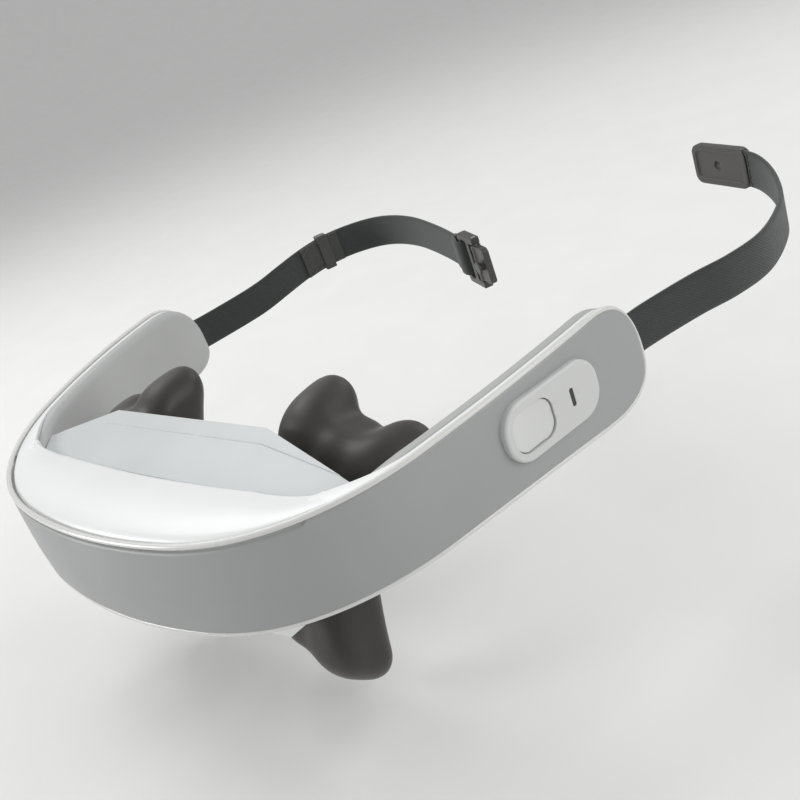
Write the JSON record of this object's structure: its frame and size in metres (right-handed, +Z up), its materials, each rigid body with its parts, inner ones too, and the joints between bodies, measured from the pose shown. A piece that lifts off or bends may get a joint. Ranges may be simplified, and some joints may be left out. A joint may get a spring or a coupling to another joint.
{
  "type": "eye massager mask",
  "caption": "Curved eye massager mask: grey band with arms, housing with two swinging soft claw heads, power button, and webbing straps with a buckle and an end tab.",
  "frame": {"origin": "middle of the mask in plan, halfway between the front of the band and the arm tips, level with the middle of the band's front", "axes": "+Z up, the front of the band faces -Y, the arms run towards +Y, and the arm with the control panel is on +X"},
  "size_m": [0.215, 0.2302, 0.0872],
  "materials": {
    "shell_soft_touch": "soft satin",
    "trim_white": "gloss",
    "liner_grey": "satin",
    "frame_white": "satin",
    "housing_white": "satin gloss",
    "facing_grey": "satin",
    "claw_silicone": "satin",
    "core_plastic": "matte",
    "steel": "satin",
    "bronze": "satin",
    "gear_acetal": "satin",
    "board_green": "satin",
    "cell_foil": "satin",
    "panel_grey": "satin",
    "button_grey": "satin",
    "light_dark": "gloss",
    "webbing": "woven",
    "buckle_plastic": "satin"
  },
  "bodies": {
    "mask": {"outer_shell": "shell_soft_touch", "edge_trim": "trim_white", "mid_frame": "frame_white", "inner_liner": "liner_grey", "dome_cover": "housing_white", "facing_cover": "facing_grey", "bottom_cover": "housing_white", "face_plate": "facing_grey", "charge_port": "steel", "port_board": "board_green", "shaft_bushes_right": "bronze", "shaft_bushes_left": "bronze", "idler_pin": "steel", "motor": "steel", "main_board": "board_green", "motor_plate": "frame_white", "drive_screws": "steel", "battery_cell": "cell_foil", "control_panel": "panel_grey", "tact_switch": "core_plastic", "light_pipe": "light_dark", "control_board": "board_green", "strap_right": "webbing", "strap_left": "webbing", "strap_clamp_right": "core_plastic", "strap_clamp_left": "core_plastic", "end_tab": "buckle_plastic", "buckle_frame": "buckle_plastic", "buckle_pin": "steel", "strap_keeper": "buckle_plastic"},
    "right_head": {"claw_core_right": "core_plastic", "claw_pad_right": "claw_silicone", "head_shaft_right": "steel", "head_gear_right": "gear_acetal"},
    "left_head": {"claw_core_left": "core_plastic", "claw_pad_left": "claw_silicone", "head_shaft_left": "steel", "head_gear_left": "gear_acetal"},
    "drive": {"drive_gear": "gear_acetal", "motor_rotor": "steel"},
    "idler": {"idler_gear": "gear_acetal"},
    "button": {"power_button": "button_grey"},
    "hook": {"hook_plate": "buckle_plastic"}
  },
  "joints": [
    {"name": "right_head_swing", "type": "hinge", "parent": "mask", "child": "right_head", "pos_m": [0.037, -0.01, -0.016], "axis": [0, -0.9336, 0.3584], "range_deg": [-3, 45]},
    {"name": "left_head_swing", "type": "hinge", "parent": "mask", "child": "left_head", "pos_m": [-0.037, -0.01, -0.016], "axis": [0, -0.9336, 0.3584], "range_deg": [-45, 3]},
    {"name": "drive_gear_spin", "type": "hinge", "parent": "mask", "child": "drive", "pos_m": [0.0115, -0.01, -0.016], "axis": [0, -0.9336, 0.3584], "range_deg": [-54.83, 3.7]},
    {"name": "idler_gear_spin", "type": "hinge", "parent": "mask", "child": "idler", "pos_m": [-0.0115, -0.01, -0.016], "axis": [0, -0.9336, 0.3584], "range_deg": [-3.7, 54.83]},
    {"name": "power_button_press", "type": "slide", "parent": "mask", "child": "button", "axis": [-0.9815, 0.1916, 0], "range_m": [0, 0.0006], "stiffness_N_per_m": 2500},
    {"name": "hook_plate_swing", "type": "hinge", "parent": "mask", "child": "hook", "pos_m": [0.02283, 0.09539, 0.015], "axis": [0, 0, 1], "range_deg": [-90, 90]}
  ],
  "couplings": [
    {"joint": "left_head_swing", "follows": "right_head_swing", "ratio": -1},
    {"joint": "drive_gear_spin", "follows": "right_head_swing", "ratio": -1.2174},
    {"joint": "idler_gear_spin", "follows": "right_head_swing", "ratio": 1.2174}
  ]
}
